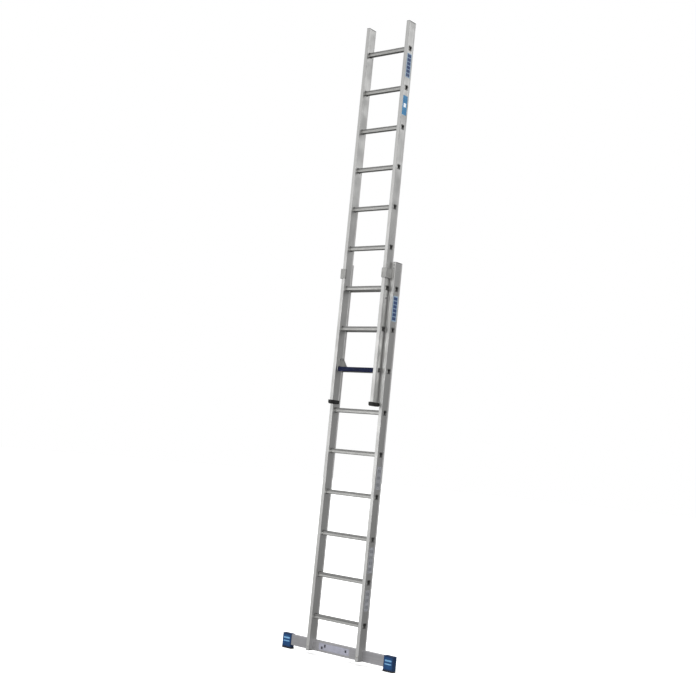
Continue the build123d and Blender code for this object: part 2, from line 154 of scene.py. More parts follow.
# %% A small workbench for finishes
class Finish:
    """One material being laid out."""

    def __init__(self, name, metallic, roughness, **fixed):
        self.material = bpy.data.materials.new(name)
        self.material.use_nodes = True
        self.tree = self.material.node_tree
        self.shader = self.tree.nodes["Principled BSDF"]
        self.place = self.tree.nodes.new("ShaderNodeTexCoord").outputs["Object"]
        self.put("Metallic", metallic)
        self.put("Roughness", roughness)
        for socket, value in fixed.items():
            self.put(socket.replace("_", " "), value)

    def put(self, socket, value):
        """Sets a shader socket to a number or colour, or links it to a socket."""
        feed(self.tree, self.shader.inputs[socket], value)

    def effect(self, group, **values):
        """Places a shared effect, with its own values, and returns its outputs."""
        node = self.tree.nodes.new("ShaderNodeGroup")
        node.node_tree = group
        self.tree.links.new(self.place, node.inputs["Place"])
        for socket, value in values.items():
            node.inputs[socket.replace("_", " ")].default_value = value
        return node.outputs

    def noise(self, scale, detail=2.0, rough=0.5):
        """Noise read on the surface."""
        return noise_node(self.tree, self.place, scale, detail, rough)

    def step(self, value, low, high, to_low=0.0, to_high=1.0):
        """A smooth step from low to high."""
        return range_node(self.tree, value, low, high, to_low, to_high)

    def cloud(self, scale, detail=3.0, rough=0.5):
        """Soft patches from 0 to 1."""
        return self.step(self.noise(scale, detail, rough), 0.3, 0.7)

    def blend(self, amount, one, other):
        """Mixes two colours by amount. Each colour is three numbers or a socket."""
        node = self.tree.nodes.new("ShaderNodeMix")
        node.data_type = "RGBA"
        self.tree.links.new(amount, node.inputs["Factor"])
        for socket, colour in ((node.inputs[6], one), (node.inputs[7], other)):
            feed(self.tree, socket, (*colour, 1.0) if isinstance(colour, tuple) else colour)
        return node.outputs[2]

    def tint(self, under, colour, weight, mask):
        """Lays colour over under, by weight times mask."""
        return self.blend(math_node(self.tree, "MULTIPLY", mask, weight), under, colour)

    def sum(self, start, *terms):
        """start plus each weight times its value, as one socket from 0 to 1."""
        total = start
        for weight, value in terms:
            total = math_node(self.tree, "MULTIPLY_ADD", value, weight, total, clamp=True)
        return total

    def relief(self, height, distance, strength=1.0):
        """Bumps the surface by height times distance, in metres."""
        bump = self.tree.nodes.new("ShaderNodeBump")
        bump.inputs["Distance"].default_value = distance
        bump.inputs["Strength"].default_value = strength
        self.tree.links.new(height, bump.inputs["Height"])
        self.put("Normal", bump.outputs["Normal"])


print("workbench ready")

# %% [markdown]
# ## Floor and studio light
#
# A pale floor runs off in every direction. The room round it is white to the eye, but the metal sees a
# studio: brightest in front of the ladder, dimmer beyond it, and dimmer still towards the floor. Bare
# aluminium is a soft mirror, so that difference is what separates the bright front flanges from the grey
# webs. A uniform white room would make every face the same.

# %% Lay the floor
FLOOR_SIZE = 120.0
FLOOR_GLOW = 0.38
FLOOR_PATCHES = 1.5

bpy.ops.mesh.primitive_plane_add(size=FLOOR_SIZE, location=(0.0, 0.0, 0.0))
floor = bpy.context.object
floor.name = "floor"
floor.visible_glossy = False
bpy.context.scene.view_settings.view_transform = "Standard"

floor_paint = Finish(
    "floor_paint", 0.0, 0.9,
    Specular_IOR_Level=0.1, Emission_Color=(1.0, 1.0, 1.0, 1.0), Emission_Strength=FLOOR_GLOW,
)
floor_paint.put("Base Color", floor_paint.blend(floor_paint.noise(FLOOR_PATCHES), grey(0.90), grey(0.93)))
floor.data.materials.append(floor_paint.material)

# %% Hang the lights
AIM = Vector((0.0, 0.0, 2.1))
SUN_STRENGTH = 2.3
SUN_WIDTH = math.radians(70)


def soft_box(name, place, width, height, power):
    """A rectangular soft box at place, turned to face the middle of the ladder."""
    lamp = bpy.data.lights.new(name, "AREA")
    lamp.shape = "RECTANGLE"
    lamp.size, lamp.size_y = width, height
    lamp.energy = power
    holder = bpy.data.objects.new(name, lamp)
    bpy.context.collection.objects.link(holder)
    holder.location = place
    holder.rotation_euler = (AIM - Vector(place)).to_track_quat("-Z", "Y").to_euler()


soft_box("key_light", (-3.2, -7.2, 2.3), width=4.4, height=4.2, power=64)
soft_box("back_light", (4.6, 5.8, 6.4), width=2.6, height=3.6, power=30)
soft_box("front_light", (4.2, -7.0, 2.2), width=4.4, height=4.4, power=190)
overhead = bpy.data.objects.new("overhead_light", bpy.data.lights.new("overhead_light", "SUN"))
overhead.data.energy = SUN_STRENGTH
overhead.data.angle = SUN_WIDTH
bpy.context.collection.objects.link(overhead)
print("three soft boxes and one broad overhead light")

# %% Paint the room that the metal reflects
BRIGHT_SIDE = (-0.35, -0.90, -0.15)
FACING = 0.9
WALL_DIM, WALL_BRIGHT = 0.36, 0.78
LOW, HORIZON = -0.32, 0.06
LOW_DIM = 0.52

world = bpy.data.worlds.new("studio")
bpy.context.scene.world = world
world.use_nodes = True
room = world.node_tree
direction = room.nodes.new("ShaderNodeTexCoord").outputs["Generated"]
heading = room.nodes.new("ShaderNodeSeparateXYZ")
room.links.new(direction, heading.inputs["Vector"])
towards_bright = dot_node(room, direction, BRIGHT_SIDE)
walls = range_node(room, towards_bright, -FACING, FACING, WALL_DIM, WALL_BRIGHT, "LINEAR")
floorwards = range_node(room, heading.outputs["Z"], LOW, HORIZON, LOW_DIM)
reflected = math_node(room, "MULTIPLY", walls, floorwards)
seen_directly = room.nodes.new("ShaderNodeLightPath").outputs["Is Camera Ray"]
background = room.nodes["Background"]
background.inputs["Color"].default_value = (1.0, 1.0, 1.0, 1.0)
room.links.new(math_node(room, "MAXIMUM", seen_directly, reflected), background.inputs["Strength"])
print("a graded room with", len(room.nodes), "nodes")

# %% [markdown]
# ## Effects that several finishes share
#
# Die lines, handling marks, worn edges, the painted edge shade on the guides, and grime with painted shade in
# the corners turn up on every part, so each one is built once as a node group and placed in every finish that
# needs it, with its own values. A group only gives back numbers that change over the surface. The shader, and
# everything that is the same all over, stays in the material.

# %% A helper for writing node groups
def start_group(name, numbers, outputs, vectors=("Place",)):
    """A new shader node group with named inputs and outputs. Returns it with its two end nodes."""
    group = bpy.data.node_groups.new(name, "ShaderNodeTree")
    for socket in vectors:
        group.interface.new_socket(socket, in_out="INPUT", socket_type="NodeSocketVector")
    for socket, value in numbers.items():
        made = group.interface.new_socket(socket, in_out="INPUT", socket_type="NodeSocketFloat")
        made.default_value = value
    for socket in outputs:
        group.interface.new_socket(socket, in_out="OUTPUT", socket_type="NodeSocketFloat")
    return group, group.nodes.new("NodeGroupInput"), group.nodes.new("NodeGroupOutput")


print("helper for node groups ready")

# %% [markdown]
# ### Die lines
#
# An extruded bar is pulled through a die, which leaves fine lines along its whole length and a few broader
# bands. Noise that is squeezed across the bar and stretched along it gives both: the input Line Scale says
# how tightly it is squeezed along each axis.

# %% Die lines
def build_die_lines():
    """Fine lines and broad bands along an extrusion."""
    group, source, result = start_group("die_lines", {}, ("Lines", "Bands"), ("Place", "Line Scale"))
    squeeze = group.nodes.new("ShaderNodeVectorMath")
    squeeze.operation = "MULTIPLY"
    group.links.new(source.outputs["Place"], squeeze.inputs[0])
    group.links.new(source.outputs["Line Scale"], squeeze.inputs[1])
    fine = noise_node(group, squeeze.outputs["Vector"], 1.0, 3.0, 0.65)
    broad = noise_node(group, squeeze.outputs["Vector"], 0.12)
    group.links.new(range_node(group, fine, 0.25, 0.75), result.inputs["Lines"])
    group.links.new(range_node(group, broad, 0.30, 0.70), result.inputs["Bands"])
    return group


die_lines = build_die_lines()
print("die_lines:", len(die_lines.nodes), "nodes")

# %% [markdown]
# ### Handling marks
#
# A ladder is carried, leant and stacked. Hands leave soft dull patches, and other metal leaves thin bright
# scratches in a few directions. Smudges are slow noise. A scratch is a noise stretched hard along a turned
# axis, of which only the very top is kept, so that most of the surface stays clean.

# %% Handling marks
SCRATCHES = ((0.35, (900.0, 900.0, 14.0)), (-0.9, (700.0, 700.0, 20.0)))


def build_handling_marks():
    """Smudges, and thin scratches in two directions."""
    group, source, result = start_group("handling_marks", {"Scale": 6.0}, ("Smudge", "Scratch"))
    place = source.outputs["Place"]
    slow = noise_node(group, place, source.outputs["Scale"], 4.0, 0.6)
    group.links.new(range_node(group, slow, 0.35, 0.68), result.inputs["Smudge"])
    lines = []
    for turn, stretch in SCRATCHES:
        turned = group.nodes.new("ShaderNodeMapping")
        turned.inputs["Rotation"].default_value = (turn, turn * 0.6, 0.2)
        turned.inputs["Scale"].default_value = stretch
        group.links.new(place, turned.inputs["Vector"])
        lines.append(range_node(group, noise_node(group, turned.outputs["Vector"], 1.0, 0.0), 0.72, 0.80))
    both = math_node(group, "MAXIMUM", *lines)
    where = range_node(group, noise_node(group, place, 3.1), 0.45, 0.65)
    group.links.new(math_node(group, "MULTIPLY", both, where), result.inputs["Scratch"])
    return group


handling_marks = build_handling_marks()
print("handling_marks:", len(handling_marks.nodes), "nodes")

# %% [markdown]
# ### Worn edges, and edges painted dark as shade
#
# Edges are rubbed first. A Bevel node looks a little way round each point and gives back a rounded normal:
# where that differs from the true normal, the point is near an edge. Noise breaks the line up, because wear
# is never even. Most finishes lighten these edges as wear. The guides darken them as painted shade.

# %% Worn edges, and edges painted dark as shade
def build_worn_and_shaded_edges():
    """1 along edges, 0 on open faces: worn edges on most parts, painted edge shade on the guides."""
    group, source, result = start_group("worn_and_shaded_edges", {"Radius": 0.0015, "Breakup": 90.0}, ("Edge",))
    rounded = group.nodes.new("ShaderNodeBevel")
    rounded.samples = 4
    group.links.new(source.outputs["Radius"], rounded.inputs["Radius"])
    true_normal = group.nodes.new("ShaderNodeNewGeometry").outputs["Normal"]
    agree = dot_node(group, rounded.outputs["Normal"], true_normal)
    near = range_node(group, math_node(group, "SUBTRACT", 1.0, agree), 0.02, 0.22)
    breakup = noise_node(group, source.outputs["Place"], source.outputs["Breakup"], 3.0, 0.6)
    uneven = math_node(group, "MULTIPLY", near, range_node(group, breakup, 0.35, 0.62))
    group.links.new(uneven, result.inputs["Edge"])
    return group


worn_and_shaded_edges = build_worn_and_shaded_edges()
print("worn_and_shaded_edges:", len(worn_and_shaded_edges.nodes), "nodes")

# %% [markdown]
# ### Grime and painted shade in corners
#
# Grime stays where a cloth doesn't reach: in corners, grooves and round rivet heads, and shade falls there
# too. Ambient occlusion measures how closed in a point is, and the finishes darken such places, partly as
# grime and partly as painted shade. Noise makes the edge of the darkening uneven. The deepest corners are
# darkened all over.

# %% Grime and painted shade in corners
def build_corner_grime_and_shade():
    """1 in corners and grooves, 0 on open faces: the mask for grime and painted shade."""
    group, source, result = start_group("corner_grime_and_shade", {"Reach": 0.012, "Breakup": 60.0}, ("Grime_And_Shade",))
    closed = group.nodes.new("ShaderNodeAmbientOcclusion")
    closed.samples = 4
    closed.only_local = True
    group.links.new(source.outputs["Reach"], closed.inputs["Distance"])
    corner = range_node(group, closed.outputs["AO"], 0.35, 0.95, 1.0, 0.0)
    deep = range_node(group, closed.outputs["AO"], 0.15, 0.50, 1.0, 0.0)
    breakup = noise_node(group, source.outputs["Place"], source.outputs["Breakup"], 4.0, 0.65)
    uneven = math_node(group, "MULTIPLY", corner, range_node(group, breakup, 0.25, 0.6))
    group.links.new(math_node(group, "MAXIMUM", uneven, deep), result.inputs["Grime_And_Shade"])
    return group


corner_grime_and_shade = build_corner_grime_and_shade()
print("corner_grime_and_shade:", len(corner_grime_and_shade.nodes), "nodes")

# %% [markdown]
# ## Extruded aluminium
#
# Stiles, rungs and the stabiliser bar are mill-finished extrusions. Each has its die lines along its own
# length, duller patches where it was handled, bright thin scratches, brighter worn edges, and corners darkened
# by grime and painted shade. Only the direction of the lines and a few tones differ, so one function lays out
# all three.
#
# A rung's upper half carries ribs for grip. It is painted darker, with darker stripes for the ribs, as painted
# shade, and a painted shadow line runs along the underside. The rungs of both sections stand at one pitch, so
# a point's height can be wrapped to tell how far it lies above the middle of its own rung.

# %% Places on a rung
RUNG_PITCH = 0.280
LOWEST_RUNG = (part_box("base_rung_1")[0].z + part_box("base_rung_1")[1].z) / 2
RIB_WIDTH = 0.0012


def place_on_rung(finish):
    """Two sockets: the height above the rung's middle, and the place along the rung."""
    parts = finish.tree.nodes.new("ShaderNodeSeparateXYZ")
    finish.tree.links.new(finish.place, parts.inputs["Vector"])
    height = math_node(finish.tree, "SUBTRACT", parts.outputs["Z"], LOWEST_RUNG)
    return math_node(finish.tree, "WRAP", height, RUNG_PITCH / 2, -RUNG_PITCH / 2), parts.outputs["X"]


def shaded_tread(finish, metal, shaded_rib_colour):
    """metal with its upper half painted darker as shade, in stripes for the ribs, and a painted shadow line
    along the underside.
    """
    height, _ = place_on_rung(finish)
    # Painted shade: the upper half takes the darker colour.
    upper = finish.step(height, 0.0005, 0.0025)
    # Painted shade in the grooves: every other stripe is darker still.
    rib_shade = finish.step(math_node(finish.tree, "PINGPONG", height, RIB_WIDTH), 0.0002, 0.0010)
    metal = finish.blend(upper, metal, finish.blend(rib_shade, shade(shaded_rib_colour, 0.72), shaded_rib_colour))
    # Painted shadow: a dark line along the rung's underside.
    return finish.tint(metal, grey(0.10), 0.8, finish.step(height, -0.0142, -0.0115, 1.0, 0.0))


print("rungs every", RUNG_PITCH, "m from z =", round(LOWEST_RUNG, 3))

# %% Extruded aluminium for stiles, rungs and bar
BARE_EDGE = (0.84, 0.84, 0.85)


def extruded(name, line_scale, bright, dull, roughness, reach=0.010, shaded_rib_colour=None):
    """A mill-finished extrusion whose lines run along the axis with the small line scale.

    reach is how far grime and painted shade spread out of the corners. The last argument is the darker colour
    painted on a rung's upper half as shade, or None.
    """
    finish = Finish(name, 1.0, roughness)
    lines = finish.effect(die_lines, Line_Scale=line_scale)
    marks = finish.effect(handling_marks, Scale=7.0)
    edges = finish.effect(worn_and_shaded_edges, Radius=0.0016, Breakup=70.0)
    grime_and_shade = finish.effect(corner_grime_and_shade, Reach=reach)
    metal = finish.blend(lines["Bands"], dull, bright)
    grime_and_shade_weight, grime_and_shade_tone = 0.55, 0.11
    if shaded_rib_colour:
        metal = shaded_tread(finish, metal, shaded_rib_colour)
        # On rungs the corners go near black: some grime, mostly painted shade.
        grime_and_shade_weight, grime_and_shade_tone = 0.95, 0.03
    metal = finish.tint(metal, shade(dull, 0.82), 0.35, marks["Smudge"])
    metal = finish.tint(metal, shade(bright, 0.75), 0.22, lines["Lines"])
    metal = finish.tint(metal, BARE_EDGE, 0.30, edges["Edge"])
    # Corners and grooves go darker: partly grime, partly painted shade.
    metal = finish.tint(metal, grey(grime_and_shade_tone), grime_and_shade_weight, grime_and_shade["Grime_And_Shade"])
    finish.put("Base Color", metal)
    wear = (0.14, marks["Smudge"]), (0.25, grime_and_shade["Grime_And_Shade"]), (-0.12, marks["Scratch"])
    finish.put("Roughness", finish.sum(roughness, (0.10, lines["Lines"]), *wear))
    finish.put("Metallic", math_node(finish.tree, "MULTIPLY_ADD", grime_and_shade["Grime_And_Shade"], -0.6, 1.0))
    finish.relief(finish.sum(0.0, (0.6, lines["Lines"]), (0.4, marks["Scratch"])), 0.00006, 0.6)
    return finish.material


finishes = {
    "stile_aluminium": extruded(
        "stile_aluminium", line_scale=(2600.0, 2600.0, 3.0),
        bright=(0.68, 0.68, 0.67), dull=(0.57, 0.57, 0.56), roughness=0.29,
    ),
    "rung_aluminium": extruded(
        "rung_aluminium", line_scale=(6.0, 2600.0, 2600.0),
        bright=(0.62, 0.62, 0.60), dull=(0.50, 0.50, 0.49), roughness=0.34,
        # The darker colour of a rung's upper half is painted shade.
        reach=0.030, shaded_rib_colour=(0.24, 0.24, 0.235),
    ),
    "bar_aluminium": extruded(
        "bar_aluminium", line_scale=(4.0, 2200.0, 2200.0),
        bright=(0.50, 0.495, 0.51), dull=(0.42, 0.415, 0.43), roughness=0.42,
    ),
}
print("extruded:", ", ".join(finishes))

# %% [markdown]
# ## Cast and stamped metal
#
# Guides are cast, so they are rough, cloudy and full of small pits, and their edges are painted dark as shade.
# Hook plates are thick flat bar, tumbled dull, with brighter worn edges. Both use the same noise in every
# direction for relief, because nothing was drawn through a die.

# %% Cast guides and hook plates
def cast(name, light, dark, edge_shade_and_wear, metallic, roughness, grain, depth):
    """A grainy casting. Its edges take a colour of their own: painted shade on the guides, wear on the hooks.
    grain and depth are the scale and height of its pits.
    """
    finish = Finish(name, metallic, roughness)
    pits = finish.noise(grain, 4.0, 0.7)
    marks = finish.effect(handling_marks, Scale=18.0)
    edges = finish.effect(worn_and_shaded_edges, Radius=0.0020, Breakup=110.0)
    grime_and_shade = finish.effect(corner_grime_and_shade, Reach=0.012)
    tone = finish.blend(finish.cloud(24.0), dark, light)
    tone = finish.tint(tone, (0.62, 0.62, 0.61), 0.5, marks["Scratch"])
    # Edge colour: painted shade on the guides, brighter wear on the hooks.
    tone = finish.tint(tone, edge_shade_and_wear, 0.75, edges["Edge"])
    # Corners go darker: partly grime, partly painted shade.
    tone = finish.tint(tone, grey(0.05), 0.6, grime_and_shade["Grime_And_Shade"])
    finish.put("Base Color", tone)
    finish.put("Roughness", finish.sum(roughness, (0.12, pits), (0.15, grime_and_shade["Grime_And_Shade"]), (-0.15, edges["Edge"])))
    finish.relief(finish.sum(0.0, (1.0, pits), (0.2, marks["Smudge"])), depth)
    return finish.material


# The guides' near-black edges are painted shade.
finishes["guide_cast"] = cast(
    "guide_cast", light=(0.42, 0.42, 0.41), dark=(0.33, 0.33, 0.32), edge_shade_and_wear=(0.10, 0.10, 0.095),
    metallic=0.85, roughness=0.46, grain=900.0, depth=0.00030,
)
finishes["hook_aluminium"] = cast(
    "hook_aluminium", light=(0.52, 0.52, 0.50), dark=(0.42, 0.42, 0.41), edge_shade_and_wear=(0.60, 0.60, 0.59),
    metallic=0.95, roughness=0.40, grain=1400.0, depth=0.00012,
)
print("cast: guide_cast, hook_aluminium")

# %% [markdown]
# ## Painted rung
#
# The fly's lowest rung is powder coated dark blue. Powder melts into a skin with a faint orange peel, and
# boots wear it through to bare metal on the edges and along scratches. Its swaged ends are bare. One mask
# drives colour, metalness and roughness together, so a chip looks like metal and not like grey paint.

# %% Powder-coated blue rung
PAINTED_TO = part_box("fly_stile_right")[0].x - 0.0015
PAINT_EDGE = 0.0004


def powder_blue():
    """Dark blue powder coat, worn through on its edges."""
    finish = Finish("rung_blue", 0.0, 0.40, Specular_IOR_Level=0.12)
    edges = finish.effect(worn_and_shaded_edges, Radius=0.0011, Breakup=160.0)
    marks = finish.effect(handling_marks, Scale=11.0)
    grime_and_shade = finish.effect(corner_grime_and_shade, Reach=0.030)
    _, along = place_on_rung(finish)
    from_middle = math_node(finish.tree, "ABSOLUTE", along)
    bare = finish.step(from_middle, PAINTED_TO - PAINT_EDGE, PAINTED_TO + PAINT_EDGE)
    rubbed = finish.sum(0.0, (0.16, edges["Edge"]), (0.14, marks["Scratch"]))
    worn = math_node(finish.tree, "MAXIMUM", rubbed, bare)
    paint = finish.blend(finish.cloud(16.0), (0.0012, 0.0036, 0.022), (0.0020, 0.0062, 0.036))
    paint = finish.tint(paint, (0.007, 0.012, 0.040), 0.3, marks["Smudge"])
    paint = finish.blend(worn, paint, (0.50, 0.50, 0.49))
    # Corners go near black: partly grime, partly painted shade.
    paint = finish.tint(paint, (0.012, 0.012, 0.014), 0.95, grime_and_shade["Grime_And_Shade"])
    finish.put("Base Color", paint)
    finish.put("Metallic", finish.sum(worn, (-1.0, grime_and_shade["Grime_And_Shade"])))
    finish.put("Roughness", finish.sum(0.36, (0.18, marks["Smudge"]), (0.10, worn), (0.2, grime_and_shade["Grime_And_Shade"])))
    finish.relief(finish.noise(420.0), 0.00010)
    return finish.material


finishes["rung_blue"] = powder_blue()
print("painted: rung_blue")

# %% [markdown]
# ## Moulded plastic and rubber
#
# Shoes are moulded in blue plastic with a fine grained skin, end plugs in dark plastic, and soles and feet
# are black rubber, which goes grey with dust on its edges. They share one function: a grain for the mould's
# skin, scuffs on the edges, and grime with painted shade in the corners.

# %% Moulded parts
def moulded(name, deep, pale, scuff, roughness, grain, depth, dust):
    """A moulded part: deep and pale are its two tones, scuff the colour of rubbed edges."""
    finish = Finish(name, 0.0, roughness, Specular_IOR_Level=0.25)
    skin = finish.noise(grain, 2.0, 0.6)
    marks = finish.effect(handling_marks, Scale=26.0)
    edges = finish.effect(worn_and_shaded_edges, Radius=0.0022, Breakup=130.0)
    grime_and_shade = finish.effect(corner_grime_and_shade, Reach=0.010, Breakup=90.0)
    tone = finish.blend(finish.cloud(20.0, 4.0, 0.6), deep, pale)
    tone = finish.tint(tone, scuff, dust, marks["Smudge"])
    tone = finish.blend(finish.sum(0.0, (0.45, edges["Edge"]), (0.35, marks["Scratch"])), tone, scuff)
    # Corners go darker: partly grime, partly painted shade.
    tone = finish.tint(tone, shade(deep, 0.35), 0.6, grime_and_shade["Grime_And_Shade"])
    finish.put("Base Color", tone)
    finish.put("Roughness", finish.sum(roughness, (0.10, skin), (0.15, marks["Smudge"]), (0.12, grime_and_shade["Grime_And_Shade"])))
    finish.relief(finish.sum(0.0, (1.0, skin), (-0.5, marks["Scratch"])), depth)
    return finish.material


finishes["shoe_blue"] = moulded(
    "shoe_blue", deep=(0.0012, 0.014, 0.052), pale=(0.0018, 0.022, 0.074), scuff=(0.012, 0.055, 0.13),
    roughness=0.42, grain=1500.0, depth=0.00009, dust=0.10,
)
finishes["plug_dark"] = moulded(
    "plug_dark", deep=(0.014, 0.015, 0.017), pale=(0.022, 0.023, 0.025), scuff=grey(0.09),
    roughness=0.50, grain=1300.0, depth=0.00008, dust=0.12,
)
finishes["rubber_black"] = moulded(
    "rubber_black", deep=grey(0.007), pale=grey(0.014), scuff=(0.075, 0.073, 0.070),
    roughness=0.70, grain=800.0, depth=0.00020, dust=0.16,
)
print("moulded: shoe_blue, plug_dark, rubber_black")

# %% [markdown]
# ## Plated steel
#
# Bolts, washers and nuts are zinc plated and have a faint yellow and blue bloom. The rivets are darker
# steel. Small round parts catch light all round, so a little roughness variation is enough to keep them
# from looking drawn.

# %% Bolts and rivets
def plated(name, light, dark, bloom, roughness):
    """Plated steel with a faint coloured bloom."""
    finish = Finish(name, 1.0, roughness)
    cloud = finish.cloud(160.0)
    grain = finish.noise(2400.0)
    edges = finish.effect(worn_and_shaded_edges, Radius=0.0008, Breakup=300.0)
    grime_and_shade = finish.effect(corner_grime_and_shade, Reach=0.006, Breakup=200.0)
    tone = finish.blend(cloud, dark, light)
    tone = finish.tint(tone, bloom, 0.4, finish.step(grain, 0.5, 0.7))
    tone = finish.tint(tone, (0.72, 0.72, 0.71), 0.4, edges["Edge"])
    # Corners and the rims round heads go darker: partly grime, partly painted shade.
    tone = finish.tint(tone, (0.06, 0.05, 0.04), 0.7, grime_and_shade["Grime_And_Shade"])
    finish.put("Base Color", tone)
    finish.put("Roughness", finish.sum(roughness, (0.15, cloud), (0.3, grime_and_shade["Grime_And_Shade"])))
    finish.relief(grain, 0.00004)
    return finish.material


finishes["bolt_steel"] = plated(
    "bolt_steel", light=(0.58, 0.57, 0.52), dark=(0.45, 0.45, 0.44), bloom=(0.50, 0.52, 0.58), roughness=0.30,
)
finishes["rivet_steel"] = plated(
    "rivet_steel", light=(0.30, 0.30, 0.31), dark=(0.20, 0.20, 0.21), bloom=(0.26, 0.26, 0.30), roughness=0.38,
)
print("plated: bolt_steel, rivet_steel")

# %% [markdown]
# ## Dressing the model
#
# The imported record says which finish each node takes. The meshes are loose triangles that must not be
# edited, so only their material slots are filled.

# %% Put each finish on its nodes
for part in frame["record"]["subparts"]:
    node, finish = nodes[part["node"]], finishes[part["material_slot"]]
    if not node.material_slots:
        node.data.materials.append(finish)
    for place in node.material_slots:
        place.material = finish
print(len(nodes), "nodes dressed in", len(finishes), "finishes")

# %% [markdown]
# ## Modelling by hand
#
# The pieces that follow are modelled as in Blender's window: add a primitive at its size and place, choose
# faces or edges, and use an edit-mode tool on them. An operator acts on everything that is selected, so the
# helpers below first clear the selection, and then choose by place or direction.

# %% Helpers for modelling with operators
def add_block(name, low, high):
    """A box between two corners, with its place in its mesh."""
    low, high = Vector(low), Vector(high)
    bpy.ops.object.select_all(action="DESELECT")
    bpy.ops.mesh.primitive_cube_add(size=1.0, location=(low + high) / 2)
    block = bpy.context.object
    block.name = block.data.name = name
    block.scale = high - low
    bpy.ops.object.transform_apply(location=True, rotation=True, scale=True)
    return block


def choose(piece, kind, pick):
    """Enters edit mode with only the faces or edges selected that pick lists for the mesh."""
    bpy.ops.object.mode_set(mode="EDIT")
    bpy.ops.mesh.select_mode(type=kind)
    bpy.ops.mesh.select_all(action="DESELECT")
    bpy.ops.object.mode_set(mode="OBJECT")
    for element in pick(piece.data):
        element.select = True
    bpy.ops.object.mode_set(mode="EDIT")


def choose_faces(piece, test):
    """Selects the faces whose centre and normal pass the test."""
    choose(piece, "FACE", lambda mesh: [face for face in mesh.polygons if test(face.center, face.normal)])


def choose_edges(piece, test):
    """Selects the edges whose two ends pass the test."""
    def pick(mesh):
        return [edge for edge in mesh.edges if test(*(mesh.vertices[end].co for end in edge.vertices))]

    choose(piece, "EDGE", pick)


def done(piece, smooth):
    """Leaves edit mode and smooths edges gentler than smooth degrees."""
    bpy.ops.object.mode_set(mode="OBJECT")
    bpy.ops.object.select_all(action="DESELECT")
    piece.select_set(True)
    bpy.context.view_layer.objects.active = piece
    bpy.ops.object.shade_smooth_by_angle(angle=math.radians(smooth))
    piece.select_set(False)


print("modelling helpers ready")

# %% [markdown]
# ## Stickers
#
# Real stickers are printed vinyl, a few tenths of a millimetre thick, with round corners, stuck in the flat
# bed of the stile's web where nothing rubs them. Ours carry plain blocks of colour and no words. Each is a
# thin plate: its corner edges are bevelled round, and its face is cut into a grid by bisecting, so that the
# printed blocks are faces of their own with a second ink.

# %% Vinyl finishes
VINYL_ROUGHNESS = 0.36


def vinyl(name, colour, faded):
    """Printed vinyl that has faded and scuffed a little."""
    finish = Finish(name, 0.0, VINYL_ROUGHNESS, Coat_Weight=0.15, Coat_Roughness=0.25)
    marks = finish.effect(handling_marks, Scale=34.0)
    edges = finish.effect(worn_and_shaded_edges, Radius=0.0008, Breakup=220.0)
    tone = finish.blend(finish.cloud(30.0, 4.0, 0.6), colour, faded)
    tone = finish.tint(tone, grey(0.60), 0.6, marks["Scratch"])
    tone = finish.tint(tone, grey(0.45), 0.5, edges["Edge"])
    finish.put("Base Color", tone)
    finish.put("Roughness", finish.sum(VINYL_ROUGHNESS, (0.2, marks["Smudge"])))
    finish.relief(finish.noise(700.0), 0.00003)
    return finish.material


pale_vinyl = vinyl("pale_vinyl", (0.19, 0.28, 0.38), (0.24, 0.33, 0.42))
navy_ink = vinyl("navy_ink", (0.005, 0.022, 0.085), (0.010, 0.034, 0.115))
teal_vinyl = vinyl("teal_vinyl", (0.020, 0.13, 0.28), (0.030, 0.17, 0.33))
white_ink = vinyl("white_ink", (0.72, 0.76, 0.80), (0.64, 0.68, 0.72))
grey_vinyl = vinyl("grey_vinyl", (0.195, 0.20, 0.215), (0.165, 0.17, 0.185))
grey_ink = vinyl("grey_ink", (0.11, 0.115, 0.13), (0.135, 0.14, 0.15))
film_vinyl = vinyl("film_vinyl", (0.27, 0.27, 0.325), (0.23, 0.235, 0.28))
black_ink = vinyl("black_ink", (0.012, 0.012, 0.020), (0.020, 0.020, 0.030))
print("eight vinyl finishes ready")

# %% Cut and print one sticker
STICKER_THICKNESS = 0.0003
STICKER_CORNER = 0.004
STICKER_SMOOTH = 40.0


def sticker(name, body, low, high, out, inks, cuts, printed):
    """A sticker between two corners on a flat face whose outward direction is out.

    inks are its field and its print. cuts lists (axis, place) planes that divide its face, and
    printed(centre) says which faces take the print.
    """
    plate = add_block(name, low, high)
    thin = max(range(3), key=lambda axis: abs(out[axis]))
    choose_edges(plate, lambda a, b: abs(a[thin] - b[thin]) > STICKER_THICKNESS / 2)
    bpy.ops.mesh.bevel(offset=STICKER_CORNER, segments=5, affect="EDGES")
    for axis, place in cuts:
        bpy.ops.mesh.select_all(action="SELECT")
        point, normal = [0.0, 0.0, 0.0], [0.0, 0.0, 0.0]
        point[axis], normal[axis] = place, 1.0
        bpy.ops.mesh.bisect(plane_co=point, plane_no=normal)
    done(plate, STICKER_SMOOTH)
    for ink in inks:
        plate.data.materials.append(ink)
    for face in plate.data.polygons:
        if face.normal.dot(Vector(out)) > 0.9 and printed(face.center):
            face.material_index = 1
    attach(plate, body)


def blocks(start, stop, count, gap):
    """count equal spans between start and stop, gap apart, as (low, high) pairs."""
    length = (stop - start - gap * (count - 1)) / count
    starts = [start + i * (length + gap) for i in range(count)]
    return [(low, low + length) for low in starts]


print("sticker maker ready")

# %% [markdown]
# The web's bed lies a little under the stile's outer edge and is narrower than the stile. Both numbers come
# from the drawing, and the stile's own box gives the rest. Heights are measured from the rung below. Each
# sticker's print is a row of equal blocks, with a gap between them, and a margin at both ends and both sides.

